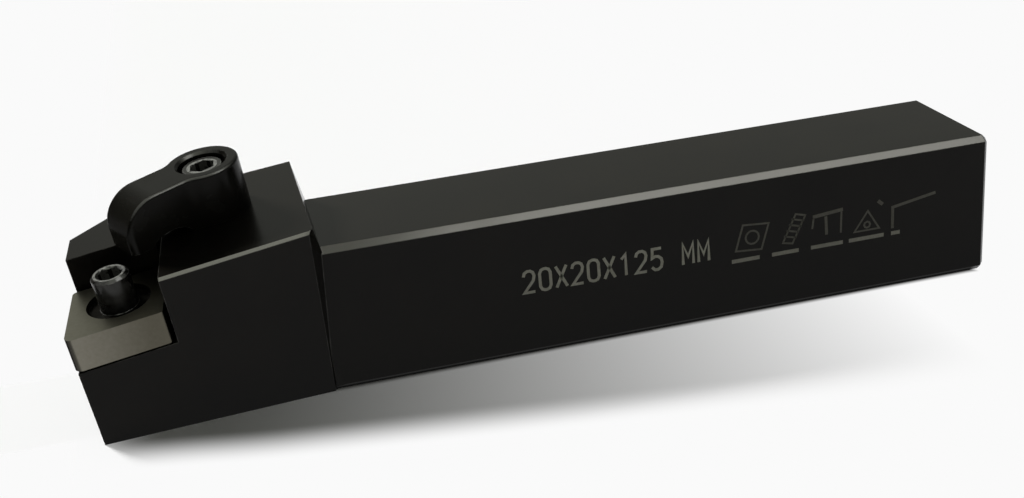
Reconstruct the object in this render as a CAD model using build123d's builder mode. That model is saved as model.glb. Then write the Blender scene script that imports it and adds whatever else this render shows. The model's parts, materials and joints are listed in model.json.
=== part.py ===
"""Turning tool holder: a square shank with a forged head, shim, lock pin, clamp and clamp screw.

Frame: +X runs along the shank to its rear end, +Y away from the cutting side, +Z up.
The origin is on the bottom face, under the shoulder, on the centre line of the shank.
Lengths are in millimetres.
"""

import os
from math import cos, radians, sin, tan

from build123d import *

os.makedirs("parts", exist_ok=True)

# ---- driving dimensions -------------------------------------------------------------

# Shank
shank_width = 20.0
shank_height = 20.0
overall_length = 125.0      # cutting corner to the rear end
long_edge_chamfer = 0.8
end_edge_chamfer = 0.6

# Cutting corner and the insert that the pocket is made for
tip_reach = 32.8            # cutting corner to the shoulder
functional_width = 25.0     # far side of the shank to the cutting corner
cutting_height = 20.0
tilt_angle = 6.0            # negative rake and negative inclination of the seat
edge_relief = 5.0           # cutting edge to the shank's direction, for a 95 degree approach
insert_angle = 80.0
insert_circle = 12.7
insert_thickness = 4.76

# Head
head_top_drop = 0.4         # top face of the head under the insert's top face
side_setback = 0.15         # near face inside the long cutting edge
end_setback = 0.55          # end face inside the end cutting edge
end_face_length = 18.4
back_chamfer_angle = 37.0
rear_lean = 12.8            # rear face of the head from the vertical
step_angle = 55.0           # step from the near face to the shank, seen from above
step_lean = 2.1
head_edge_chamfer = 0.35    # top edge of the near face
shank_overlap = 0.6         # the shank runs into the head by this much
runout_length = 1.9         # where the cutter that made the near face leaves the shank
runout_height = 3.1
runout_depth = 0.32
relief_hole_radius = 1.2    # at the inner corner of the pocket
pocket_overrun = 1.6        # the pocket's cutter against the insert, so both open sides are cut

# Shim
shim_circle = 11.9
shim_thickness = 4.76
shim_side_setback = 0.08    # shim inside the long cutting edge
shim_end_setback = 0.2      # shim inside the end cutting edge
shim_sharp_radius = 1.0
shim_blunt_radius = 0.6
shim_hole_radius = 3.2
shim_edge_chamfer = 0.3     # lower edge, all round

# Lock pin
pin_length = 17.0
pin_top_drop = 0.7          # top of the pin under the insert's top face
pin_stem_radius = 2.4
pin_thread_radius = 3.0
pin_flange_radius = 3.9
pin_flange_drop = 0.6       # top of the flange under the shim's top face
pin_flange_thickness = 0.6
pin_edge_chamfer = 0.35
pin_socket_across = 3.0
pin_socket_depth = 2.6
pin_socket_mouth = 0.25     # depth of the socket's countersunk mouth
flange_clearance = 0.15
countersink_overrun = 1.0   # the countersink's cutter past both faces of the shim

# Clamp
clamp_along_edge = 21.0     # screw axis from the cutting corner, along the holder
clamp_across_edge = 16.45   # screw axis from the cutting corner, across the holder
clamp_turn = 205.0          # direction of the finger, from the holder's direction
clamp_top_rise = 6.5        # top of the clamp over the insert's top face
boss_radius = 4.75
finger_width = 6.6
finger_reach = 13.2         # screw axis to the front of the nose
finger_arc_radius = 4.8
finger_root_radius = 2.5
nose_rise = 0.0             # underside of the nose over the insert's top face
nose_length = 2.6
nose_corner_radius = 1.0
arch_rise = 1.1             # hollow under the finger, over the nose's underside
arch_start = (-1, 1)        # the hollow's direction where it leaves the nose
arch_end = (-1, -2)         # and where it meets the boss
clamp_rim_radius = 0.45
clamp_seat_gap = 0.03
least_upward = 0.3          # cosine that parts the clamp's top and arch from its sides

# Clamp screw
screw_radius = 3.0
screw_length = 25.0
screw_top_drop = 0.6        # top of the screw under the top of the clamp
screw_neck_radius = 2.3
screw_neck_length = 2.0
screw_edge_chamfer = 0.5
screw_socket_across = 3.0
screw_socket_depth = 3.2
thread_clearance = 0.08
hole_edge_chamfer = 0.35
length_tolerance = 0.001

# ---- frames and values worked out from the dimensions -------------------------------

far_side = shank_width / 2
near_side = -shank_width / 2
rear_end = overall_length - tip_reach
tilt = tan(radians(tilt_angle))

# The seat frame: origin at the cutting corner, its Z square to the tilted seat.
seat_frame = Plane(
    origin=(-tip_reach, far_side - functional_width, cutting_height),
    x_dir=(1, 0, tilt),
    z_dir=(-tilt, -tilt, 1),
)
seat_depth = insert_thickness + shim_thickness
through_depth = 3 * shank_height   # long enough to pass right through the head

# Lock pin: its axis goes through the middle of the insert.
half_diagonal = insert_circle / (2 * sin(radians(insert_angle / 2)))
bisector = radians(edge_relief + insert_angle / 2)
pin_centre = (half_diagonal * cos(bisector), half_diagonal * sin(bisector))
shim_top = -insert_thickness
pin_top = -pin_top_drop
pin_bottom = pin_top - pin_length
flange_top = shim_top - pin_flange_drop
flange_bottom = flange_top - pin_flange_thickness
pin_cone_drop = pin_flange_radius - pin_thread_radius
socket_corner_radius = pin_socket_across / 2 / cos(radians(30))
pin_frame = Plane(
    origin=seat_frame.from_local_coords((*pin_centre, 0)),
    x_dir=seat_frame.x_dir,
    z_dir=seat_frame.z_dir,
)
pin_section = Plane(origin=pin_frame.origin, x_dir=pin_frame.x_dir, z_dir=-pin_frame.y_dir)
pin_axis = Axis(pin_frame.origin, pin_frame.z_dir)

# Clamp: its own frame turns the finger's direction to X, with Z on the screw's axis.
clamp_centre = (clamp_along_edge, clamp_across_edge)
clamp_x = seat_frame.x_dir * cos(radians(clamp_turn)) + seat_frame.y_dir * sin(radians(clamp_turn))
clamp_frame = Plane(
    origin=seat_frame.from_local_coords((clamp_along_edge, clamp_across_edge, 0)),
    x_dir=clamp_x,
    z_dir=seat_frame.z_dir,
)
clamp_side = Plane(origin=clamp_frame.origin, x_dir=clamp_frame.x_dir, z_dir=-clamp_frame.y_dir)
clamp_base = clamp_seat_gap - head_top_drop
screw_top = clamp_top_rise - screw_top_drop
screw_bottom = screw_top - screw_length
threaded_hole_radius = screw_radius + thread_clearance


def set_back(side, end):
    """Point in the seat frame that lies this far inside the long and the end cutting edges."""
    relief = tan(radians(edge_relief))
    x = (end + relief * side) / (1 - relief**2)
    return Vector(x, side + relief * x)


def rhombus(circle, corner):
    """Corners of a plate with the insert's angles, from the corner under the cutting corner."""
    edge = circle / sin(radians(insert_angle))
    long_edge = Vector(edge * cos(radians(edge_relief)), edge * sin(radians(edge_relief)))
    end_angle = radians(edge_relief + insert_angle)
    end_edge = Vector(edge * cos(end_angle), edge * sin(end_angle))
    return [corner, corner + long_edge, corner + long_edge + end_edge, corner + end_edge]


def head_outline():
    """Outline of the head in the seat frame, run past the faces that are trimmed later."""
    relief = tan(radians(edge_relief))
    start = set_back(side_setback, end_setback)
    end_x = end_setback + relief * end_face_length
    back = 2 * functional_width
    reach = 2 * tip_reach
    chamfer_run = (back - end_face_length) / tan(radians(back_chamfer_angle))
    return [
        (start.X, start.Y),
        (reach, side_setback + relief * reach),
        (reach, back),
        (end_x + chamfer_run, back),
        (end_x, end_face_length),
    ]


def is_on_top(face):
    """True for the clamp's flat top and for the arch that carries on from it."""
    middle = clamp_frame.to_local_coords(face.center())
    facing = face.normal_at(face.center()).dot(clamp_frame.z_dir)
    return facing > least_upward and middle.Z > nose_shoulder


# ---- tool body: shank and head, one piece of steel -----------------------------------

step_normal = Vector(sin(radians(step_angle)), -cos(radians(step_angle)), -tan(radians(step_lean)))
rear_normal = Vector(cos(radians(rear_lean)), 0, sin(radians(rear_lean)))
shoulder = Vector(0, near_side, shank_height)
step_plane = Plane(origin=shoulder, z_dir=step_normal)
rear_plane = Plane(origin=shoulder, z_dir=rear_normal)

with BuildPart() as head:
    with BuildSketch(seat_frame.offset(-head_top_drop)):
        with BuildLine():
            Polyline(*head_outline(), close=True)
        make_face()
    extrude(amount=-through_depth)
    split(bisect_by=Plane.XY, keep=Keep.TOP)
    split(bisect_by=Plane(origin=(0, far_side, 0), z_dir=(0, 1, 0)), keep=Keep.BOTTOM)
    split(bisect_by=rear_plane, keep=Keep.BOTTOM)
    split(bisect_by=step_plane, keep=Keep.BOTTOM)
    # The long top edge over the near face is broken.
    top_face = faces().sort_by(lambda f: f.normal_at(f.center()).dot(seat_frame.z_dir))[-1]
    near_edge = top_face.edges().sort_by(lambda e: (e @ 0.5).Y)[0]
    chamfer(near_edge, length=head_edge_chamfer)

# The lowest near corner of the shank is cut away where the near face runs out.
runout_points = (
    Vector(runout_length - shank_overlap, near_side, 0),
    Vector(-shank_overlap, near_side, runout_height),
    Vector(-shank_overlap, near_side + runout_depth, 0),
)
runout_normal = (runout_points[1] - runout_points[0]).cross(runout_points[2] - runout_points[0])
runout_plane = Plane(origin=runout_points[0], z_dir=runout_normal)

with BuildPart() as tool_body:
    with BuildSketch(Plane.YZ.offset(-shank_overlap)):
        with Locations((0, shank_height / 2)):
            Rectangle(shank_width, shank_height)
        chamfer(vertices(), length=long_edge_chamfer)
    extrude(amount=rear_end + shank_overlap)
    chamfer(faces().sort_by(Axis.X)[-1].edges(), length=end_edge_chamfer)
    split(bisect_by=runout_plane, keep=Keep.TOP if runout_normal.X > 0 else Keep.BOTTOM)
    add(head.part)

    # Pocket: the seat and two walls that follow the insert.
    inner = rhombus(insert_circle, Vector(0, 0))
    corner = inner[2]
    opened = [corner + (point - corner) * pocket_overrun for point in inner]
    with BuildSketch(seat_frame.offset(-seat_depth)):
        with BuildLine():
            Polyline(*opened, close=True)
        make_face()
        with Locations(corner):
            Circle(relief_hole_radius)
    extrude(amount=through_depth, mode=Mode.SUBTRACT)

    # Threaded holes of the lock pin and the clamp screw, down to the bottom face.
    with BuildSketch(seat_frame.offset(-seat_depth)):
        with Locations(pin_centre):
            Circle(pin_thread_radius + thread_clearance)
    extrude(amount=-through_depth, mode=Mode.SUBTRACT)
    with BuildSketch(seat_frame):
        with Locations(clamp_centre):
            Circle(threaded_hole_radius)
    extrude(amount=-through_depth, mode=Mode.SUBTRACT)

tool_body.part.label = "tool_body"
export_step(tool_body.part, "parts/tool_body.step")

# ---- shim: carbide plate on the seat, with a countersink for the pin's flange -----------

shim_corner = set_back(shim_side_setback, shim_end_setback)
recess_radius = pin_flange_radius + flange_clearance
recess_floor = flange_bottom - flange_clearance / 2
recess_cone = recess_radius - shim_hole_radius

with BuildPart() as shim:
    with BuildSketch(seat_frame.offset(-seat_depth)):
        with BuildLine():
            Polyline(*rhombus(shim_circle, shim_corner), close=True)
        make_face()
        lowest_first = vertices().sort_by(Axis.Y)
        fillet(lowest_first[1:3], radius=shim_blunt_radius)
        outer = vertices().sort_by(Axis.Y)
        fillet([outer[0], outer[-1]], radius=shim_sharp_radius)
    extrude(amount=shim_thickness)
    underside = faces().sort_by(lambda f: f.normal_at(f.center()).dot(seat_frame.z_dir))[0]
    chamfer(underside.edges(), length=shim_edge_chamfer)
    with BuildSketch(pin_section):
        with BuildLine():
            Polyline(
                (0, shim_top + countersink_overrun),
                (recess_radius, shim_top + countersink_overrun),
                (recess_radius, recess_floor),
                (shim_hole_radius, recess_floor - recess_cone),
                (shim_hole_radius, -seat_depth - countersink_overrun),
                (0, -seat_depth - countersink_overrun),
                close=True,
            )
        make_face()
    revolve(axis=pin_axis, mode=Mode.SUBTRACT)

shim.part.label = "shim"
export_step(shim.part, "parts/shim.step")

# ---- lock pin: screwed into the seat, holds the shim and centres the insert --------------

with BuildPart() as lock_pin:
    with BuildSketch(pin_section):
        with BuildLine():
            Polyline(
                (0, pin_top),
                (pin_stem_radius - pin_edge_chamfer, pin_top),
                (pin_stem_radius, pin_top - pin_edge_chamfer),
                (pin_stem_radius, flange_top),
                (pin_flange_radius, flange_top),
                (pin_flange_radius, flange_bottom),
                (pin_thread_radius, flange_bottom - pin_cone_drop),
                (pin_thread_radius, pin_bottom + screw_edge_chamfer),
                (pin_thread_radius - screw_edge_chamfer, pin_bottom),
                (0, pin_bottom),
                close=True,
            )
        make_face()
    revolve(axis=pin_axis)
    with BuildSketch(pin_frame.offset(pin_top)):
        RegularPolygon(pin_socket_across / 2, 6, major_radius=False)
    extrude(amount=-pin_socket_depth, mode=Mode.SUBTRACT)
    # The socket's mouth is countersunk out to the corners of the hexagon.
    with BuildSketch(pin_section):
        with BuildLine():
            Polyline(
                (0, pin_top),
                (socket_corner_radius, pin_top),
                (socket_corner_radius - pin_socket_mouth, pin_top - pin_socket_mouth),
                (0, pin_top - pin_socket_mouth),
                close=True,
            )
        make_face()
    revolve(axis=pin_axis, mode=Mode.SUBTRACT)

lock_pin.part.label = "lock_pin"
export_step(lock_pin.part, "parts/lock_pin.step")

# ---- clamp: threaded boss with an arched finger over the pocket --------------------------

finger_flat = finger_reach - finger_arc_radius
nose_shoulder = clamp_top_rise - finger_arc_radius
nose_back = finger_reach - nose_length
side_reach = 2 * boss_radius

with BuildPart() as clamp:
    # Seen from above: the boss, and the finger with rounded corners at the nose.
    with BuildSketch(clamp_frame.offset(clamp_base)):
        with Locations((finger_reach / 2, 0)):
            Rectangle(finger_reach, finger_width)
        nose_corners = vertices().sort_by(Axis.X)[-2:]
        fillet(nose_corners, radius=nose_corner_radius)
        Circle(boss_radius)
        roots = vertices().sort_by(lambda v: abs(v.X**2 + v.Y**2 - boss_radius**2))[:2]
        fillet(roots, radius=finger_root_radius)
    extrude(amount=clamp_top_rise - clamp_base)
    # Seen from the side: the arched top, the nose and the hollow behind it.
    with BuildSketch(clamp_side):
        with BuildLine():
            Line((-side_reach, clamp_base), (-side_reach, clamp_top_rise))
            Line((-side_reach, clamp_top_rise), (finger_flat, clamp_top_rise))
            RadiusArc(
                (finger_flat, clamp_top_rise), (finger_reach, nose_shoulder), finger_arc_radius
            )
            Line((finger_reach, nose_shoulder), (finger_reach, nose_rise))
            Line((finger_reach, nose_rise), (nose_back, nose_rise))
            Spline(
                (nose_back, nose_rise),
                ((nose_back + boss_radius) / 2, nose_rise + arch_rise),
                (boss_radius, clamp_base),
                tangents=[arch_start, arch_end],
            )
            Line((boss_radius, clamp_base), (-side_reach, clamp_base))
        make_face()
    extrude(amount=side_reach, both=True, mode=Mode.INTERSECT)
    # The rim is rounded along the top face and down over the arch.
    rim_faces = [f for f in faces() if is_on_top(f)]
    rim = [e for e in edges() if sum(e in f.edges() for f in rim_faces) == 1]
    fillet(rim, radius=clamp_rim_radius)
    # Threaded hole for the clamp screw.
    with BuildSketch(clamp_frame.offset(clamp_base)):
        Circle(threaded_hole_radius)
    extrude(amount=through_depth, mode=Mode.SUBTRACT)
    mouth = edges().filter_by(GeomType.CIRCLE).filter_by(
        lambda e: abs(e.radius - threaded_hole_radius) < length_tolerance
    )
    chamfer(mouth, length=hole_edge_chamfer)

clamp.part.label = "clamp"
export_step(clamp.part, "parts/clamp.step")

# ---- clamp screw: double ended, right and left hand threads either side of a neck --------

neck_top = clamp_base + screw_neck_length / 2
neck_bottom = neck_top - screw_neck_length
neck_step = screw_radius - screw_neck_radius

with BuildPart() as clamp_screw:
    with BuildSketch(clamp_side):
        with BuildLine():
            Polyline(
                (0, screw_top),
                (screw_radius - screw_edge_chamfer, screw_top),
                (screw_radius, screw_top - screw_edge_chamfer),
                (screw_radius, neck_top + neck_step),
                (screw_neck_radius, neck_top),
                (screw_neck_radius, neck_bottom),
                (screw_radius, neck_bottom - neck_step),
                (screw_radius, screw_bottom + screw_edge_chamfer),
                (screw_radius - screw_edge_chamfer, screw_bottom),
                (0, screw_bottom),
                close=True,
            )
        make_face()
    revolve(axis=Axis(clamp_frame.origin, clamp_frame.z_dir))
    for end, depth in ((screw_top, -screw_socket_depth), (screw_bottom, screw_socket_depth)):
        with BuildSketch(clamp_frame.offset(end)):
            RegularPolygon(screw_socket_across / 2, 6, major_radius=False)
        extrude(amount=depth, mode=Mode.SUBTRACT)

clamp_screw.part.label = "clamp_screw"
export_step(clamp_screw.part, "parts/clamp_screw.step")
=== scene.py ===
import json
from math import atan2, cos, pi, radians, sin

import bmesh
import bpy
from mathutils import Euler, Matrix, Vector


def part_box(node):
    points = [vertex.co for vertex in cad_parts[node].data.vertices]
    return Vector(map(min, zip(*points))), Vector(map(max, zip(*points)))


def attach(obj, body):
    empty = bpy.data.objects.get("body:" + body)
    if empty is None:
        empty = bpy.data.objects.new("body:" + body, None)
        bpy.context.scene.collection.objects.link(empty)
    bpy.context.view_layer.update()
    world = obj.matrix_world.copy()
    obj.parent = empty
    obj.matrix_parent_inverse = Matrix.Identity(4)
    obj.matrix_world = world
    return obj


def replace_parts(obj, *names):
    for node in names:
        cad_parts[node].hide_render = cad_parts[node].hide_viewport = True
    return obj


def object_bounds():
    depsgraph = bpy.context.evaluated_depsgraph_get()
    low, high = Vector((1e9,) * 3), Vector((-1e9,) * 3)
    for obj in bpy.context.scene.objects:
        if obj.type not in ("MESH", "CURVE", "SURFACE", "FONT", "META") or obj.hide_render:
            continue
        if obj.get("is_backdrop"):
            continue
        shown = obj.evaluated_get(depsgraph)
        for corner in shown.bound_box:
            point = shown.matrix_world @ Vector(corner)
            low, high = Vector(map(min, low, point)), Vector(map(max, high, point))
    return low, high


mm = 0.001

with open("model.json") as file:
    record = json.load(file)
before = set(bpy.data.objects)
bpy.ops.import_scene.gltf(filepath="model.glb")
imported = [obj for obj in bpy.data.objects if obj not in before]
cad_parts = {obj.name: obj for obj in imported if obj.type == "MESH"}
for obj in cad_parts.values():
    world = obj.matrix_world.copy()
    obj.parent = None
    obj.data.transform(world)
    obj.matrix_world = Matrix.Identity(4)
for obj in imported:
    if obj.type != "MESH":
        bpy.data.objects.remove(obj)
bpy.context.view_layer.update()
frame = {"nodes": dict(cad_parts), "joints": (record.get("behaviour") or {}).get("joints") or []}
nodes = frame["nodes"]
scene = bpy.context.scene
print("frame loaded:", ", ".join(sorted(nodes)))


# Small helpers for colours, nodes and meshes

def rgb(hexColour):
    # sRGB hex to the linear values that the shaders take
    values = [int(hexColour[i:i + 2], 16) / 255 for i in (1, 3, 5)]
    linear = [v / 12.92 if v <= 0.04045 else ((v + 0.055) / 1.055) ** 2.4 for v in values]
    return (*linear, 1)


def addNode(tree, kind, settings=None, links=None):
    # settings: an attribute or an input and its value; links: an input and the socket that feeds it
    node = tree.nodes.new("ShaderNode" + kind)
    for key, value in (settings or {}).items():
        if isinstance(key, str) and hasattr(node, key):
            setattr(node, key, value)
        else:
            node.inputs[key].default_value = value
    for key, socket in (links or {}).items():
        tree.links.new(socket, node.inputs[key])
    return node


def newMaterial(name):
    material = bpy.data.materials.new(name)
    material.use_nodes = True
    material.node_tree.nodes.clear()
    return material, material.node_tree


def addObject(name, mesh):
    thing = bpy.data.objects.new(name, mesh)
    scene.collection.objects.link(thing)
    return thing


# Camera: in front of the long near side, a little above it

camera = {
    "place": (-10.27, -177.20, 85.62),    # mm
    "turn": (67.601, 4.971, -13.713),     # degrees; the middle one is the roll
    "lens": 50.21,
    "sensor": 36.0,
    "clip": (0.01, 20),                   # m
}

camData = bpy.data.cameras.new("camera")
camData.lens = camera["lens"]
camData.sensor_width = camera["sensor"]
camData.clip_start, camData.clip_end = camera["clip"]
cam = addObject("camera", camData)
cam.location = Vector(camera["place"]) * mm
cam.rotation_euler = Euler([radians(a) for a in camera["turn"]])
scene.camera = cam


# Lamps: a low soft key from behind the tip, which throws the shadow forward and along the shank,
# and a softbox high beyond the rear end, which shows only in what the steel mirrors

lamps = {
    # name: kind, direction or place in mm, size in degrees or mm, strength, whether only mirrored
    "keyBehindTip": ("SUN", (-1.0, 1.25, 1.0), 15, 5.3, False),
    "softboxAbove": ("AREA", (185, -150, 350), 200, 0.43, True),
}
lampTarget = Vector((20, 0, 15)) * mm

for name, (kind, place, size, strength, onlyMirrored) in lamps.items():
    light = bpy.data.lights.new(name, kind)
    light.energy = strength
    lamp = addObject(name, light)
    lamp.visible_glossy = onlyMirrored
    lamp.visible_diffuse = not onlyMirrored
    facing = Vector(place)
    if kind == "SUN":
        light.angle = radians(size)
    else:
        light.shape = "SQUARE"
        light.size = size * mm
        lamp.location = Vector(place) * mm
        facing = lamp.location - lampTarget
    lamp.rotation_euler = facing.to_track_quat("Z", "Y").to_euler()


# Studio: grey walls that get lighter towards the ceiling, as the flat tops mirror them. The pairs
# are parts of a direction: upwards for the ceiling, and along the shank for the other two.

studio = {
    "colour": "#f6f9ee",
    "wall": 0.285,                  # strength low down
    "ceiling": 1.05,                # and straight up
    "ceilingOver": (0.25, 0.95),
    "darkSide": 0.15,               # share of that on the tip's side
    "darkOver": (-0.75, -0.12),
    "backPanel": 1.15,              # and behind the shoulder
    "backOver": (0.05, 0.30),
    "fill": 0.11,                   # what the walls add to dull surfaces
    "backdrop": "#fafafa",          # what the camera sees over the floor
}

world = bpy.data.worlds.new("studio")
world.use_nodes = True
scene.world = world
tree = world.node_tree
tree.nodes.clear()
direction = addNode(tree, "TexCoord")
height = addNode(tree, "SeparateXYZ", None, {0: direction.outputs["Generated"]})
level = addNode(tree, "MapRange", {
    "From Min": studio["ceilingOver"][0], "From Max": studio["ceilingOver"][1],
    "To Min": studio["wall"], "To Max": studio["ceiling"],
}, {"Value": height.outputs["Z"]})
leftSide = addNode(tree, "MapRange", {
    "From Min": studio["darkOver"][0], "From Max": studio["darkOver"][1],
    "To Min": studio["darkSide"],
}, {"Value": height.outputs["X"]})
rightSide = addNode(tree, "MapRange", {
    "From Min": studio["backOver"][0], "From Max": studio["backOver"][1],
    "To Min": studio["backPanel"], "To Max": 1.0,
}, {"Value": height.outputs["X"]})
side = addNode(tree, "Math", {"operation": "MULTIPLY"},
               {0: leftSide.outputs["Result"], 1: rightSide.outputs["Result"]})
wall = addNode(tree, "Math", {"operation": "MULTIPLY"},
               {0: level.outputs["Result"], 1: side.outputs[0]})
rays = addNode(tree, "LightPath")
strength = addNode(tree, "Mix", {"data_type": "FLOAT", 2: studio["fill"]},
                   {0: rays.outputs["Is Glossy Ray"], 3: wall.outputs[0]})
sky = addNode(tree, "Background", {"Color": rgb(studio["colour"])},
              {"Strength": strength.outputs[0]})
paper = addNode(tree, "Background", {"Color": rgb(studio["backdrop"])})
behind = addNode(tree, "MixShader", None, {
    0: rays.outputs["Is Camera Ray"], 1: sky.outputs["Background"], 2: paper.outputs["Background"],
})
addNode(tree, "OutputWorld", None, {"Surface": behind.outputs[0]})


# Floor: white and dull. It also glows, so that the shadow fades out towards the rear and has one
# long soft edge, and so that what the tool mirrors of the floor is evenly bright.

floorLook = {
    "size": 6000,                   # mm
    "colour": "#fafafa",
    "glowFrom": -18, "glowTo": 79,  # mm along the shank
    "glowCurve": 1.6,
    "tipFrom": -22, "tipTo": -34,   # and a little glow again at the tip
    "tipCurve": 2.6,
    "mirrorFrom": -45,              # mm along the shank, from where what is mirrored of the floor
    "mirrorTo": -85,                # darkens towards the tip's side, to this share
    "mirrorDark": 0.15,
    "shadowEdge": 22.3,             # mm in front of the tool's middle, at the shoulder
    "shadowSpread": 0.175,          # what that grows by for each mm towards the rear
    "shadowBlur": 4.2,              # mm to either side of the edge
    "drawFrom": -8, "drawTo": -26,  # mm along the shank, where the edge is drawn in towards the tip
    "drawn": 1.0,                   # by this many mm
    "underSide": (9.3, 10.3),       # no glow under the tool, within this many mm of its middle
    "underEnd": (90.4, 91.4),       # and up to its rear end
    "underDark": 0.04,              # but this share of it in mirror images
}
black = rgb("#000000")

floorMesh = bpy.data.meshes.new("floor")
b = bmesh.new()
bmesh.ops.create_grid(b, x_segments=1, y_segments=1, size=floorLook["size"] / 2 * mm)
b.to_mesh(floorMesh)
b.free()
floor = addObject("floor", floorMesh)
floor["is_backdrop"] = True

material, tree = newMaterial("paleLitFloor")
place = addNode(tree, "TexCoord")
along = addNode(tree, "SeparateXYZ", None, {0: place.outputs["Object"]})

# what the camera sees of the glow: it grows along the shank and again at the tip
ramp = addNode(tree, "MapRange", {
    "From Min": floorLook["glowFrom"] * mm, "From Max": floorLook["glowTo"] * mm,
}, {"Value": along.outputs["X"]})
fade = addNode(tree, "Math", {"operation": "POWER", 1: floorLook["glowCurve"]},
               {0: ramp.outputs["Result"]})
tipRamp = addNode(tree, "MapRange", {
    "From Min": floorLook["tipFrom"] * mm, "From Max": floorLook["tipTo"] * mm,
}, {"Value": along.outputs["X"]})
tipFade = addNode(tree, "Math", {"operation": "POWER", 1: floorLook["tipCurve"]},
                  {0: tipRamp.outputs["Result"]})
endsFade = addNode(tree, "Math", {"operation": "MAXIMUM"},
                   {0: fade.outputs[0], 1: tipFade.outputs[0]})

# the shadow's long edge in front of the tool, and no shadow beyond it
spread = addNode(tree, "Math", {"operation": "MULTIPLY", 1: floorLook["shadowSpread"]},
                 {0: along.outputs["X"]})
leaning = addNode(tree, "Math", {"operation": "ADD"}, {0: along.outputs["Y"], 1: spread.outputs[0]})
nearTip = addNode(tree, "MapRange", {
    "interpolation_type": "SMOOTHSTEP",
    "From Min": floorLook["drawFrom"] * mm, "From Max": floorLook["drawTo"] * mm,
    "To Max": -floorLook["drawn"] * mm,
}, {"Value": along.outputs["X"]})
outside = addNode(tree, "Math", {"operation": "ADD"},
                  {0: leaning.outputs[0], 1: nearTip.outputs["Result"]})
beyondEdge = addNode(tree, "MapRange", {
    "interpolation_type": "SMOOTHSTEP",
    "From Min": (floorLook["shadowBlur"] - floorLook["shadowEdge"]) * mm,
    "From Max": (-floorLook["shadowBlur"] - floorLook["shadowEdge"]) * mm,
}, {"Value": outside.outputs[0]})

# no glow in the strip that the tool covers
off = addNode(tree, "Math", {"operation": "ABSOLUTE"}, {0: along.outputs["Y"]})
beside = addNode(tree, "MapRange", {
    "From Min": floorLook["underSide"][0] * mm, "From Max": floorLook["underSide"][1] * mm,
}, {"Value": off.outputs[0]})
beyond = addNode(tree, "MapRange", {
    "From Min": floorLook["underEnd"][0] * mm, "From Max": floorLook["underEnd"][1] * mm,
}, {"Value": along.outputs["X"]})
clear = addNode(tree, "Math", {"operation": "MAXIMUM"},
                {0: beside.outputs["Result"], 1: beyond.outputs["Result"]})
faded = addNode(tree, "Mix", {"data_type": "FLOAT", 3: 1.0},
                {0: beyondEdge.outputs["Result"], 2: endsFade.outputs[0]})
rays = addNode(tree, "LightPath")
seen = addNode(tree, "Math", {"operation": "MULTIPLY"},
               {0: faded.outputs[0], 1: rays.outputs["Is Camera Ray"]})

# what the tool mirrors of it, which is even but for the tip's side
mirrored = addNode(tree, "MapRange", {
    "From Min": floorLook["mirrorTo"] * mm, "From Max": floorLook["mirrorFrom"] * mm,
    "To Min": floorLook["mirrorDark"],
}, {"Value": along.outputs["X"]})
inMirror = addNode(tree, "Math", {"operation": "MULTIPLY"},
                   {0: mirrored.outputs["Result"], 1: rays.outputs["Is Glossy Ray"]})
shown = addNode(tree, "Math", {"operation": "MAXIMUM"},
                {0: seen.outputs[0], 1: inMirror.outputs[0]})
least = addNode(tree, "Math", {"operation": "MULTIPLY", 1: floorLook["underDark"]},
                {0: rays.outputs["Is Glossy Ray"]})
uncovered = addNode(tree, "Math", {"operation": "MAXIMUM"},
                    {0: clear.outputs[0], 1: least.outputs[0]})
glow = addNode(tree, "Math", {"operation": "MULTIPLY"},
               {0: shown.outputs[0], 1: uncovered.outputs[0]})
dark = addNode(tree, "Mix", {"data_type": "RGBA", 6: rgb(floorLook["colour"]), 7: black},
               {0: rays.outputs["Is Glossy Ray"]})
paint = addNode(tree, "BsdfDiffuse", None, {"Color": dark.outputs[2]})
lit = addNode(tree, "Emission", {"Color": rgb(floorLook["colour"]), "Strength": 1.0})
both = addNode(tree, "MixShader", None,
               {0: glow.outputs[0], 1: paint.outputs[0], 2: lit.outputs[0]})
addNode(tree, "OutputMaterial", None, {"Surface": both.outputs[0]})
floorMesh.materials.append(material)
print("camera, lamps, studio and floor set")


# Black oxide on steel: a thin dark skin that mirrors its surroundings faintly, with bare steel
# showing where the edges are worn. Each pair is where an effect starts and where it is full.

oxideLimits = {
    "roughOver": (0.3, 0.7),          # shades of the patches, from smooth to rough
    "edgeOver": (0.995, 0.93),        # cosine of how far the surface turns
    "rubbedOver": (0.35, 0.65),       # shades of the nicks or the patches
    "keyedOver": (0.3, 0.55),         # and of the nicks around a socket
    "raisedOver": (1.5, 4),           # mm above the bottom face, whose own edges stay dark
    "shankOver": (-2, 0),             # mm along the shank, from the head's share to the shank's
    "brokenOver": (0.30, 0.42),       # slope, which is 0.5 on an edge broken at 45 degrees
    "stemReach": 0.08,                # mm to either side of the stem's radius
    "bumpHeight": 0.01,               # mm
}


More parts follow.
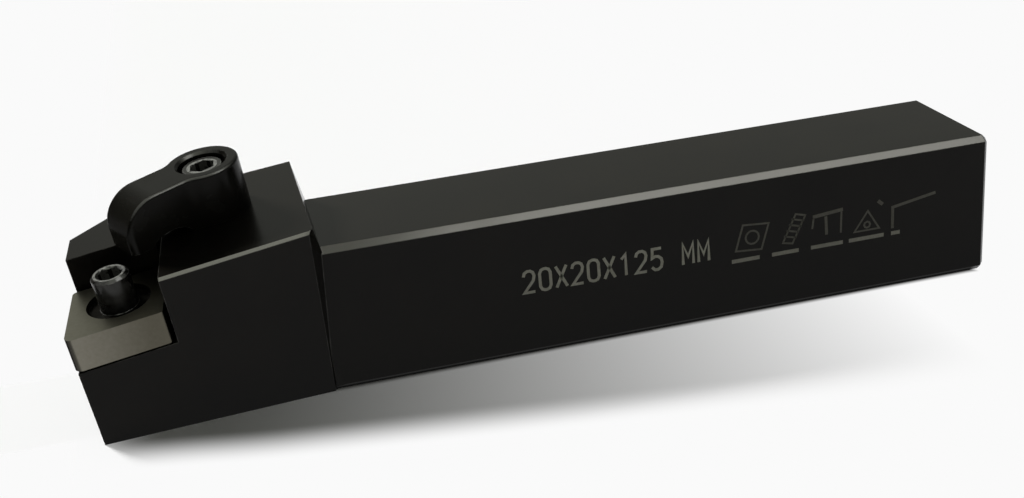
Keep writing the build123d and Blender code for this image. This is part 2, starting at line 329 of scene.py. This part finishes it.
def blackOxide(name, look, joint=None):
    material, tree = newMaterial(name)
    limits = oxideLimits
    place = addNode(tree, "TexCoord")
    patches = addNode(tree, "TexNoise", {"Scale": 1 / (look["patchSize"] * mm), "Detail": 5.0},
                      {"Vector": place.outputs["Object"]})
    grit = addNode(tree, "TexNoise", {"Scale": 1 / (look["gritSize"] * mm), "Detail": 3.0},
                   {"Vector": place.outputs["Object"]})
    oxide = addNode(tree, "Mix", {"data_type": "RGBA", 6: rgb(look["dark"]), 7: rgb(look["light"])},
                    {0: patches.outputs["Fac"]})
    rough = addNode(tree, "MapRange", {
        "From Min": limits["roughOver"][0], "From Max": limits["roughOver"][1],
        "To Min": look["smooth"], "To Max": look["rough"],
    }, {"Value": patches.outputs["Fac"]})

    # how far the surface turns within the edge radius says where the edges are
    face = addNode(tree, "NewGeometry")
    rounded = addNode(tree, "Bevel", {"samples": 6, "Radius": look["edgeRadius"] * mm})
    turning = addNode(tree, "VectorMath", {"operation": "DOT_PRODUCT"},
                      {0: rounded.outputs["Normal"], 1: face.outputs["Normal"]})
    edge = addNode(tree, "MapRange", {
        "From Min": limits["edgeOver"][0], "From Max": limits["edgeOver"][1],
    }, {"Value": turning.outputs["Value"]})
    nicks = addNode(tree, "TexNoise", {"Scale": 1 / (look["nickSize"] * mm), "Detail": 4.0},
                    {"Vector": place.outputs["Object"]})
    rubbed = addNode(tree, "MapRange", {
        "From Min": limits["rubbedOver"][0], "From Max": limits["rubbedOver"][1],
        "To Max": look["wear"],
    }, {"Value": nicks.outputs["Fac"]})
    above = addNode(tree, "SeparateXYZ", None, {0: place.outputs["Object"]})
    raised = addNode(tree, "MapRange", {
        "From Min": limits["raisedOver"][0] * mm, "From Max": limits["raisedOver"][1] * mm,
        "To Max": 1.0,
    }, {"Value": above.outputs["Z"]})
    rubbedEdge = addNode(tree, "Math", {"operation": "MULTIPLY"},
                         {0: edge.outputs["Result"], 1: rubbed.outputs["Result"]})
    worn = addNode(tree, "Math", {"operation": "MULTIPLY"},
                   {0: rubbedEdge.outputs[0], 1: raised.outputs["Result"]})

    # long edges that were broken, and look up and to the near or the far side
    lean = addNode(tree, "SeparateXYZ", None, {0: face.outputs["True Normal"]})
    across = addNode(tree, "Math", {"operation": "ABSOLUTE"}, {0: lean.outputs["Y"]})
    slope = addNode(tree, "Math", {"operation": "MULTIPLY"},
                    {0: across.outputs[0], 1: lean.outputs["Z"]})
    share = addNode(tree, "MapRange", {
        "From Min": limits["shankOver"][0] * mm, "From Max": limits["shankOver"][1] * mm,
        "To Min": look["headEdge"], "To Max": look["shankEdge"],
    }, {"Value": above.outputs["X"]})
    broken = addNode(tree, "MapRange", {
        "From Min": limits["brokenOver"][0], "From Max": limits["brokenOver"][1],
    }, {"Value": slope.outputs[0], "To Max": share.outputs["Result"]})
    bare = addNode(tree, "Math", {"operation": "MAXIMUM"},
                   {0: worn.outputs[0], 1: broken.outputs["Result"]})

    # a screw or a pin is rubbed by the key around its sockets' mouths, and the pin's stem a little
    # by the insert's hole
    if joint:
        arm = addNode(tree, "VectorMath", {"operation": "SUBTRACT", 1: joint["pos_m"]},
                      {0: place.outputs["Object"]})
        square = addNode(tree, "VectorMath", {"operation": "CROSS_PRODUCT", 1: joint["axis"]},
                         {0: arm.outputs["Vector"]})
        fromAxis = addNode(tree, "VectorMath", {"operation": "LENGTH"},
                           {0: square.outputs["Vector"]})
        mouth = addNode(tree, "Math", {
            "operation": "COMPARE", 1: look["mouthRadius"] * mm, 2: look["mouthReach"] * mm,
        }, {0: fromAxis.outputs["Value"]})
        top = addNode(tree, "Math", {"operation": "GREATER_THAN", 1: look["socketFloor"] * mm},
                      {0: above.outputs["Z"]})
        inMouth = addNode(tree, "Math", {"operation": "MULTIPLY"},
                          {0: mouth.outputs[0], 1: top.outputs[0]})
        keyed = addNode(tree, "MapRange", {
            "From Min": limits["keyedOver"][0], "From Max": limits["keyedOver"][1],
            "To Max": look["keyWear"],
        }, {"Value": nicks.outputs["Fac"]})
        rubbedMouth = addNode(tree, "Math", {"operation": "MULTIPLY"},
                              {0: inMouth.outputs[0], 1: keyed.outputs["Result"]})
        stem = addNode(tree, "Math", {
            "operation": "COMPARE", 1: look["stemRadius"] * mm, 2: limits["stemReach"] * mm,
        }, {0: fromAxis.outputs["Value"]})
        slid = addNode(tree, "MapRange", {
            "From Min": limits["rubbedOver"][0], "From Max": limits["rubbedOver"][1],
            "To Max": look["stemWear"],
        }, {"Value": patches.outputs["Fac"]})
        rubbedStem = addNode(tree, "Math", {"operation": "MULTIPLY"},
                             {0: stem.outputs[0], 1: slid.outputs["Result"]})
        either = addNode(tree, "Math", {"operation": "MAXIMUM"},
                         {0: rubbedMouth.outputs[0], 1: rubbedStem.outputs[0]})
        bare = addNode(tree, "Math", {"operation": "MAXIMUM"},
                       {0: bare.outputs[0], 1: either.outputs[0]})

    colour = addNode(tree, "Mix", {"data_type": "RGBA", 7: rgb(look["bare"])},
                     {0: bare.outputs[0], 6: oxide.outputs[2]})
    bump = addNode(tree, "Bump", {"Strength": look["bump"], "Distance": limits["bumpHeight"] * mm},
                   {"Height": grit.outputs["Fac"], "Normal": rounded.outputs["Normal"]})
    shader = addNode(tree, "BsdfPrincipled", {"Specular IOR Level": look["specular"]}, {
        "Base Color": colour.outputs[2], "Roughness": rough.outputs["Result"],
        "Metallic": bare.outputs[0], "Normal": bump.outputs["Normal"],
    })
    addNode(tree, "OutputMaterial", None, {"Surface": shader.outputs["BSDF"]})
    return material


def finish(name, material):
    nodes[name].data.materials.clear()
    nodes[name].data.materials.append(material)


# Tool body: ground before it was blackened, and its upper long edges are rubbed nearly bare

bodyLook = {
    "patchSize": 12, "nickSize": 1.5,                      # mm
    "gritSize": 0.25,                                      # coarser than it is, so that it shows
    "dark": "#0c0b0a", "light": "#1c1a16",
    "bare": "#706f6b",
    "smooth": 0.13, "rough": 0.24,
    "specular": 0.09,
    "bump": 0.06,
    "edgeRadius": 0.18,                                    # mm
    "wear": 0.45,
    "shankEdge": 0.54,                                     # share of bare steel on the long edges
    "headEdge": 0.95,
}

finish("tool_body", blackOxide("groundBlackOxide", bodyLook))


# Clamp: a sintered or cast steel finger, blackened, a little duller than the ground body

clampLook = {
    "patchSize": 4, "gritSize": 0.18, "nickSize": 0.8,
    "dark": "#0d0c0a", "light": "#14130f",
    "bare": "#8a8a86",
    "smooth": 0.18, "rough": 0.30,
    "specular": 0.08,
    "bump": 0.15,
    "edgeRadius": 0.15,
    "wear": 0.30,
    "shankEdge": 0.0, "headEdge": 0.4,
}
finish("clamp", blackOxide("satinBlackOxide", clampLook))


# Clamp screw and lock pin: turned and blackened, and rubbed by the key around their sockets

screwLook = {
    "patchSize": 2, "gritSize": 0.12, "nickSize": 0.5,
    "dark": "#12110f", "light": "#1d1c19",
    "bare": "#b4b4b0",
    "smooth": 0.12, "rough": 0.22,
    "specular": 0.25,
    "bump": 0.05,
    "edgeRadius": 0.16,
    "wear": 0.8,
    "shankEdge": 0.0, "headEdge": 0.25,
    "mouthRadius": 1.76, "mouthReach": 0.24,               # mm, and mm to either side of it
    "socketFloor": 15,                                     # mm above the bottom face
    "keyWear": 0.65,
    "stemRadius": 2.4, "stemWear": 0.05,
}

# The solids have plain cylinders where these two are threaded. A copy gets real threads cut in:
# each cylinder's side is taken out, and rows of points whose depth follows a helix go in.

threads = {
    "radius": 3.0, "pitch": 1.0, "depth": 0.61,            # mm, M6 x 1
    "crest": 0.125, "flank": 0.3125,                       # shares of the pitch
    "rows": 12,                                            # to a pitch
    "runOut": 0.75,                                        # mm over which each end fades
    "near": 0.01,                                          # mm, for a point on the cylinder
    "digits": 1,                                           # of a ring's height in mm
    "weld": 0.001,                                         # mm
}
sharpEdge = radians(30)


def threadDepth(turn):
    # share of the full depth, at this share of a pitch
    turn = turn % 1
    crest, flank = threads["crest"], threads["flank"]
    if turn < crest:
        return 0.0
    if turn < crest + flank:
        return (turn - crest) / flank
    if turn < 1 - flank:
        return 1.0
    return (1 - turn) / flank


def cutThreads(name, node, joint, hands):
    # hands: 1 for a right-hand thread and -1 for a left-hand one, from the bottom up
    centre, axis = Vector(joint["pos_m"]), Vector(joint["axis"]).normalized()
    aside = axis.orthogonal().normalized()
    square = axis.cross(aside)
    b = bmesh.new()
    b.from_mesh(nodes[node].data)
    bmesh.ops.remove_doubles(b, verts=b.verts, dist=threads["weld"] * mm)

    def level(vert):
        return round((vert.co - centre).dot(axis) / mm, threads["digits"])

    def angle(vert):
        arm = vert.co - centre
        return atan2(arm.dot(square), arm.dot(aside))

    def onCylinder(vert):
        arm = vert.co - centre
        return abs((arm - axis * arm.dot(axis)).length / mm - threads["radius"]) < threads["near"]

    rings = {}
    for vert in b.verts:
        if onCylinder(vert):
            rings.setdefault(level(vert), []).append(vert)
    levels = sorted(rings)
    sides = {}
    for face in b.faces:
        spans = sorted({level(v) for v in face.verts})
        if len(spans) == 2 and all(onCylinder(v) for v in face.verts):
            sides.setdefault(tuple(spans), []).append(face)
    for hand, low, high in zip(hands, levels[0::2], levels[1::2]):
        first, last = (sorted(rings[z], key=angle) for z in (low, high))
        if len(first) != len(last):    # rings that don't pair up keep their plain side
            continue
        bmesh.ops.delete(b, geom=sides[(low, high)], context="FACES_ONLY")
        count = round((high - low) / threads["pitch"] * threads["rows"])
        angles = [angle(vert) for vert in first]
        rows = [first]
        for i in range(1, count):
            along = low + (high - low) * i / count
            fade = min(1, (along - low) / threads["runOut"], (high - along) / threads["runOut"])
            row = []
            for turn in angles:
                share = threadDepth(along / threads["pitch"] - hand * turn / (2 * pi))
                reach = threads["radius"] - threads["depth"] * share * fade
                spoke = aside * cos(turn) + square * sin(turn)
                row.append(b.verts.new(centre + (axis * along + spoke * reach) * mm))
            rows.append(row)
        rows.append(last)
        for below, over in zip(rows, rows[1:]):
            for i in range(len(angles)):
                j = (i + 1) % len(angles)
                b.faces.new((below[i], below[j], over[j], over[i]))
    loose = [edge for edge in b.edges if not edge.link_faces]
    bmesh.ops.delete(b, geom=loose, context="EDGES")
    bmesh.ops.recalc_face_normals(b, faces=b.faces)
    for face in b.faces:
        face.smooth = True
    for edge in b.edges:
        edge.smooth = edge.is_manifold and edge.calc_face_angle() < sharpEdge
    mesh = bpy.data.meshes.new(name)
    b.to_mesh(mesh)
    b.free()
    return addObject(name, mesh)


joints = {joint["child"]: joint for joint in frame["joints"]}

clampScrew = cutThreads("threadedClampScrew", "clamp_screw", joints["screw"], (1, -1))
clampScrew.data.materials.append(blackOxide("turnedBlackOxideScrew", screwLook, joints["screw"]))
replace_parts(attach(clampScrew, "screw"), "clamp_screw")

lockPin = cutThreads("threadedLockPin", "lock_pin", joints["pin"], (1,))
lockPin.data.materials.append(blackOxide("turnedBlackOxidePin", screwLook, joints["pin"]))
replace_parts(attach(lockPin, "pin"), "lock_pin")
print("threads cut in the clamp screw and the lock pin")


# Shim: cemented carbide, ground all over, which leaves it a dull yellowish grey. Its colour also
# holds painted light and shade: lighter at the tip, darker behind under the clamp, and darker on
# its round corner that looks to the tip's side

shimLook = {
    "dark": "#504d43", "light": "#5a574d",              # painted shade, behind, under the clamp
    "darkTipPaintedLight": "#706d61", "lightTipPaintedLight": "#807d74",        # painted light, at the tip
    "paintedLightAt": -31.5, "paintedShadeAt": -22.0,                  # mm along the shank, from the painted light at the tip to the painted shade behind
    "corner": 0.30,                                     # share of the colour left on the tip's round corner, as painted shade,
    "cornerOver": (-0.1, -0.35),                        # where it looks this far to the tip's side
    "grain": 0.5,                                       # mm, coarser than it is, so that it shows
    "rough": 0.40,
}


def groundCarbideWithPaintedLight(name, look):
    material, tree = newMaterial(name)
    place = addNode(tree, "TexCoord")
    grain = addNode(tree, "TexNoise", {"Scale": 1 / (look["grain"] * mm), "Detail": 4.0},
                    {"Vector": place.outputs["Object"]})
    # two copies of the same carbide: a darker one that is painted shade, behind under the clamp,
    # and a lighter one that is painted light, at the tip
    behind = addNode(tree, "Mix", {
        "data_type": "RGBA", 6: rgb(look["dark"]), 7: rgb(look["light"]),
    }, {0: grain.outputs["Fac"]})
    tip = addNode(tree, "Mix", {
        "data_type": "RGBA", 6: rgb(look["darkTipPaintedLight"]), 7: rgb(look["lightTipPaintedLight"]),
    }, {0: grain.outputs["Fac"]})
    # along the shank, the painted light at the tip gives way to the painted shade behind
    along = addNode(tree, "SeparateXYZ", None, {0: place.outputs["Object"]})
    paintedShadeShare = addNode(tree, "MapRange", {
        "From Min": look["paintedLightAt"] * mm, "From Max": look["paintedShadeAt"] * mm,
    }, {"Value": along.outputs["X"]})
    carbideWithPaintedLight = addNode(tree, "Mix", {"data_type": "RGBA"},
                     {0: paintedShadeShare.outputs["Result"], 6: tip.outputs[2], 7: behind.outputs[2]})
    # painted shade: the colour is scaled down on faces that look to the tip's side, such as the
    # round corner
    face = addNode(tree, "NewGeometry")
    lean = addNode(tree, "SeparateXYZ", None, {0: face.outputs["True Normal"]})
    corner = addNode(tree, "MapRange", {
        "From Min": look["cornerOver"][0], "From Max": look["cornerOver"][1],
        "To Min": 1.0, "To Max": look["corner"],
    }, {"Value": lean.outputs["X"]})
    colour = addNode(tree, "VectorMath", {"operation": "SCALE"},
                     {0: carbideWithPaintedLight.outputs[2], "Scale": corner.outputs["Result"]})
    shader = addNode(tree, "BsdfPrincipled", {"Metallic": 1.0, "Roughness": look["rough"]},
                     {"Base Color": colour.outputs["Vector"]})
    addNode(tree, "OutputMaterial", None, {"Surface": shader.outputs["BSDF"]})
    return material


finish("shim", groundCarbideWithPaintedLight("groundCarbideWithPaintedLight", shimLook))
print("steel and carbide finished")


# Laser marks on the near side: the holder's plain size, and small pictures of its spare parts with
# a bar under each, as a caption there would be too small to read

marks = {
    "size": "20X20X125 MM",
    "sizeLeft": 25.4, "sizeFoot": 9.05,         # mm along the shank and above the bottom face
    "letterPitch": 2.20, "letterWidth": 1.45, "letterHeight": 3.0,
    "letterLine": 0.40,                         # widths of the drawn lines
    "pictureLine": 0.26, "bossLine": 0.5, "boltLine": 0.4, "keyLine": 0.42,
    "captionFoot": 7.90, "captionHeight": 0.55,
    "depth": 0.02,                              # how far the marks stand off the face, in and out
    "spot": 0.3,                                # size of the unevenness
    "letterShades": ("#858478", "#aeada0"),
    "pictureShades": ("#484740", "#66655d"),
    "captionShades": ("#7a796f", "#9c9b90"),
    "rough": 0.8, "specular": 0.2,
}
nearFace = -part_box("tool_body")[1].y / mm       # the shank is as wide on one side as on the other

# each letter's lines, in shares of its width and height
letterLines = {
    "0": [[(0.0, 0.2), (0.0, 0.8), (0.15, 0.95), (0.4, 1.0), (0.6, 1.0), (0.85, 0.95), (1.0, 0.8),
           (1.0, 0.2), (0.85, 0.05), (0.6, 0.0), (0.4, 0.0), (0.15, 0.05), (0.0, 0.2)]],
    "1": [[(0.15, 0.78), (0.55, 1.0), (0.55, 0.0)]],
    "2": [[(0.0, 0.76), (0.1, 0.92), (0.35, 1.0), (0.65, 1.0), (0.9, 0.92), (1.0, 0.76),
           (0.9, 0.54), (0.0, 0.0), (1.0, 0.0)]],
    "5": [[(0.95, 1.0), (0.1, 1.0), (0.05, 0.57), (0.35, 0.64), (0.65, 0.62), (0.92, 0.5),
           (1.0, 0.32), (0.9, 0.1), (0.6, 0.0), (0.3, 0.0), (0.0, 0.14)]],
    "X": [[(0.0, 0.0), (1.0, 1.0)], [(0.0, 1.0), (1.0, 0.0)]],
    "M": [[(0.0, 0.0), (0.0, 1.0), (0.5, 0.35), (1.0, 1.0), (1.0, 0.0)]],
    " ": [],
}
sharpest = 2.0      # a mitred corner reaches no further than this many half widths
closing = 0.1       # a line whose ends are nearer than this share of its width is closed


def drawLine(b, points, width):
    # a line of even width through the points, given along the shank and up, as a thin closed ribbon
    points = [Vector(p) for p in points]
    closed = (points[0] - points[-1]).length < width * closing
    if closed:
        points = points[:-1]
    count = len(points)
    runs = [(points[(i + 1) % count] - points[i]).normalized() for i in range(count)]
    rows = []
    for i, point in enumerate(points):
        before, after = runs[i - 1], runs[i]
        if not closed and i == 0:
            before = after
        if not closed and i == count - 1:
            after = before
        across = Vector((-before.y - after.y, before.x + after.x)).normalized()
        reach = width / 2 / max(across.dot(Vector((-before.y, before.x))), 1 / sharpest)
        corners = [point + across * reach, point - across * reach]
        rows.append([b.verts.new((c.x * mm, (nearFace + y) * mm, c.y * mm))
                     for y in (-marks["depth"], marks["depth"]) for c in corners])
    for i in range(count if closed else count - 1):
        near, far = rows[i], rows[(i + 1) % count]
        for j, k in ((0, 1), (1, 3), (3, 2), (2, 0)):
            b.faces.new((near[j], near[k], far[k], far[j]))
    if not closed:
        for row in (rows[0], rows[-1]):
            b.faces.new((row[0], row[1], row[3], row[2]))


def ring(centre, radius, sides):
    # a circle as straight lines, for a hole in a picture
    turns = [2 * pi * i / sides for i in range(sides + 1)]
    return [(centre[0] + radius * cos(t), centre[1] + radius * sin(t)) for t in turns]


def markMaterial(name, shades):
    # the laser turns the black skin to a dull grey, a little uneven from pulse to pulse
    material, tree = newMaterial(name)
    place = addNode(tree, "TexCoord")
    spots = addNode(tree, "TexNoise", {"Scale": 1 / (marks["spot"] * mm), "Detail": 3.0},
                    {"Vector": place.outputs["Object"]})
    colour = addNode(tree, "Mix", {"data_type": "RGBA", 6: rgb(shades[0]), 7: rgb(shades[1])},
                     {0: spots.outputs["Fac"]})
    shader = addNode(tree, "BsdfPrincipled", {
        "Roughness": marks["rough"], "Specular IOR Level": marks["specular"],
    }, {"Base Color": colour.outputs[2]})
    addNode(tree, "OutputMaterial", None, {"Surface": shader.outputs["BSDF"]})
    return material


def addMark(name, lines, shades):
    # lines: each one's points and width
    b = bmesh.new()
    for points, width in lines:
        drawLine(b, points, width)
    bmesh.ops.recalc_face_normals(b, faces=b.faces)
    mesh = bpy.data.meshes.new(name)
    b.to_mesh(mesh)
    b.free()
    mesh.materials.append(markMaterial(name + "Grey", shades))
    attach(addObject(name, mesh), "holder")


letters = []
foot, wide, high = marks["sizeFoot"], marks["letterWidth"], marks["letterHeight"]
for i, letter in enumerate(marks["size"]):
    left = marks["sizeLeft"] + i * marks["letterPitch"]
    for line in letterLines[letter]:
        letters.append(([(left + x * wide, foot + y * high) for x, y in line], marks["letterLine"]))
addMark("sizeMark", letters, marks["letterShades"])

# the pictures' lines, in mm along the shank and above the bottom face
thin = marks["pictureLine"]
pictures = [
    # shim plate with its hole
    ([(54.9, 9.6), (58.6, 9.3), (59.7, 12.9), (56.0, 13.2), (54.9, 9.6)], thin),
    (ring((57.3, 11.25), 0.95, 14), thin),
    # lock pin
    ([(61.7, 9.6), (63.1, 9.3), (65.0, 13.1), (63.6, 13.5), (61.7, 9.6)], thin),
    # clamp: boss, screw and finger
    ([(66.1, 12.6), (70.5, 13.0)], marks["bossLine"]),
    ([(66.2, 12.3), (66.0, 10.9)], thin),
    ([(68.0, 12.4), (68.1, 9.7)], marks["boltLine"]),
    ([(70.3, 12.7), (70.2, 9.6)], thin),
    # screw with its socket
    ([(72.2, 9.3), (74.2, 12.1), (75.9, 9.3), (72.2, 9.3)], thin),
    (ring((74.1, 10.1), 0.45, 8), thin),
    ([(75.7, 13.3), (76.4, 12.7)], marks["bossLine"]),
    # hex key
    ([(77.9, 8.9), (77.9, 12.0), (84.3, 13.1)], marks["keyLine"]),
]
# the lock pin's thread: a line across its foot, and how far each end has moved at its head
footLine = ((61.5, 9.75), (63.3, 9.3))
headMove = ((1.9, 3.9), (1.9, 3.8))
for share in (0.2, 0.4, 0.6, 0.8):
    ends = [(x + dx * share, z + dz * share) for (x, z), (dx, dz) in zip(footLine, headMove)]
    pictures.append((ends, thin))
addMark("partPictures", pictures, marks["pictureShades"])

captionMiddle = marks["captionFoot"] + marks["captionHeight"] / 2
bars = []
for left, right in ((54.3, 58.3), (60.1, 64.0), (65.8, 70.5), (71.4, 76.6), (77.7, 79.0)):
    bars.append(([(left, captionMiddle), (right, captionMiddle)], marks["captionHeight"]))
addMark("captionBars", bars, marks["captionShades"])
print("laser marks drawn")


scene.view_settings.view_transform = "Standard"

low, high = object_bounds()
